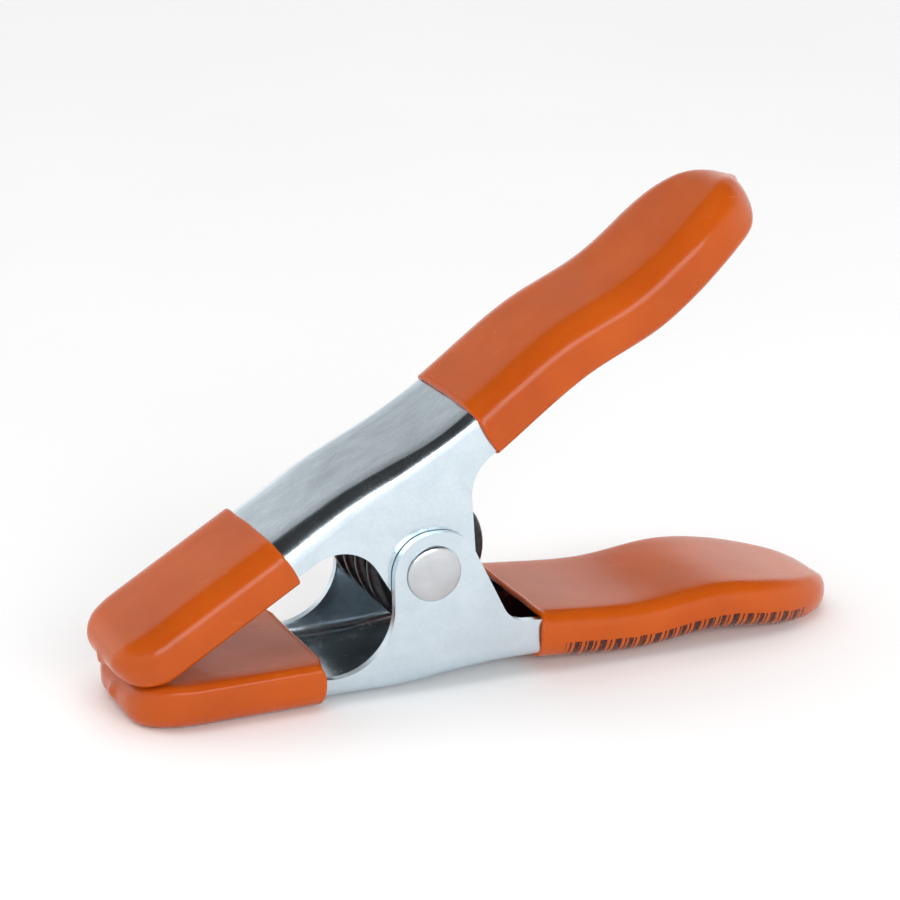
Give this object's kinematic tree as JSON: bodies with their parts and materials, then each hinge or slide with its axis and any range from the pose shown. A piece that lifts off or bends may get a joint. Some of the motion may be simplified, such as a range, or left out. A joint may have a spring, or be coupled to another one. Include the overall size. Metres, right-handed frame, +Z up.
{
  "type": "spring clamp",
  "caption": "Sprung hand clamp: two folded steel levers on a rivet, a coil spring between them, soft dipped covers on the jaws and handles.",
  "frame": {"origin": "on the floor it lies on, under the middle of the clamp's box", "axes": "+X from the jaws to the handle ends, +Y across the clamp along the rivet, +Z up"},
  "size_m": [0.1631, 0.0346, 0.0974],
  "materials": {
    "zinc_steel": "bright zinc plated, slightly mottled",
    "rivet_steel": "bright plated",
    "spring_steel": "black oiled spring wire",
    "orange_vinyl": "glossy dipped vinyl"
  },
  "bodies": {
    "lower": {"lower_lever": "zinc_steel", "pivot_rivet": "rivet_steel", "torsion_spring": "spring_steel", "lower_jaw_cover": "orange_vinyl", "lower_handle_grip": "orange_vinyl"},
    "upper": {"upper_lever": "zinc_steel", "upper_jaw_cover": "orange_vinyl", "upper_handle_grip": "orange_vinyl"}
  },
  "joints": [
    {"name": "jaw_pivot", "type": "hinge", "parent": "lower", "child": "upper", "pos_m": [-0.01768, 0, 0.02539], "axis": [0, 1, 0], "range_deg": [0, 48], "stiffness_Nm_per_rad": 5, "springref_deg": -28.65, "deforming": ["torsion_spring"]}
  ]
}
